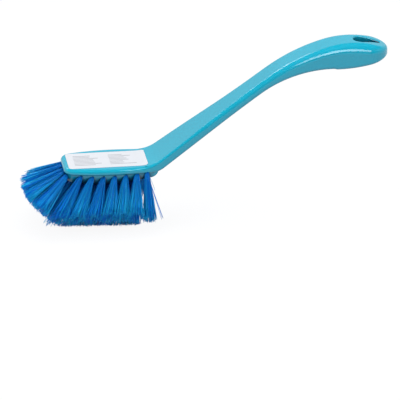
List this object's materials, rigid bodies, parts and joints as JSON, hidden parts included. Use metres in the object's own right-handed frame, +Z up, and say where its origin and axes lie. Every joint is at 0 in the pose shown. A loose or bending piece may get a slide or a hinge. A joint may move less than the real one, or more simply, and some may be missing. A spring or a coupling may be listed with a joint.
{
  "type": "dish brush",
  "caption": "Long-handled dish brush: a flat head and a swan-neck grip in one moulding, with leaning stapled bristle tufts, a fanned toe and a hanging hole.",
  "frame": {"origin": "on the floor plane that the lowest bristle ends touch, under the middle of the whole brush", "axes": "+X from the head towards the end of the handle, +Y across the brush, +Z up; the head's top is level"},
  "size_m": [0.269, 0.0674, 0.1344],
  "materials": {
    "moulded_plastic": "turquoise moulded polypropylene, satin gloss",
    "bristle_filament": "blue polyester filament, glossy along its length",
    "label_paper": "white coated paper sticker with plain grey bars",
    "staple_wire": "bright flat staple wire"
  },
  "bodies": {
    "root": {"handle_body": "moulded_plastic", "label": "label_paper", "tuft_anchors": "staple_wire", "tuft_heel_left": "bristle_filament", "tuft_heel_right": "bristle_filament", "tuft_inner_left_1": "bristle_filament", "tuft_inner_left_2": "bristle_filament", "tuft_inner_left_3": "bristle_filament", "tuft_inner_left_4": "bristle_filament", "tuft_inner_left_5": "bristle_filament", "tuft_inner_right_1": "bristle_filament", "tuft_inner_right_2": "bristle_filament", "tuft_inner_right_3": "bristle_filament", "tuft_inner_right_4": "bristle_filament", "tuft_inner_right_5": "bristle_filament", "tuft_outer_left_1": "bristle_filament", "tuft_outer_left_2": "bristle_filament", "tuft_outer_left_3": "bristle_filament", "tuft_outer_left_4": "bristle_filament", "tuft_outer_left_5": "bristle_filament", "tuft_outer_left_6": "bristle_filament", "tuft_outer_right_1": "bristle_filament", "tuft_outer_right_2": "bristle_filament", "tuft_outer_right_3": "bristle_filament", "tuft_outer_right_4": "bristle_filament", "tuft_outer_right_5": "bristle_filament", "tuft_outer_right_6": "bristle_filament", "tuft_second_1": "bristle_filament", "tuft_second_2": "bristle_filament", "tuft_second_3": "bristle_filament", "tuft_toe_1": "bristle_filament", "tuft_toe_2": "bristle_filament", "tuft_toe_3": "bristle_filament", "tuft_toe_4": "bristle_filament", "tuft_toe_5": "bristle_filament"}
  },
  "joints": []
}
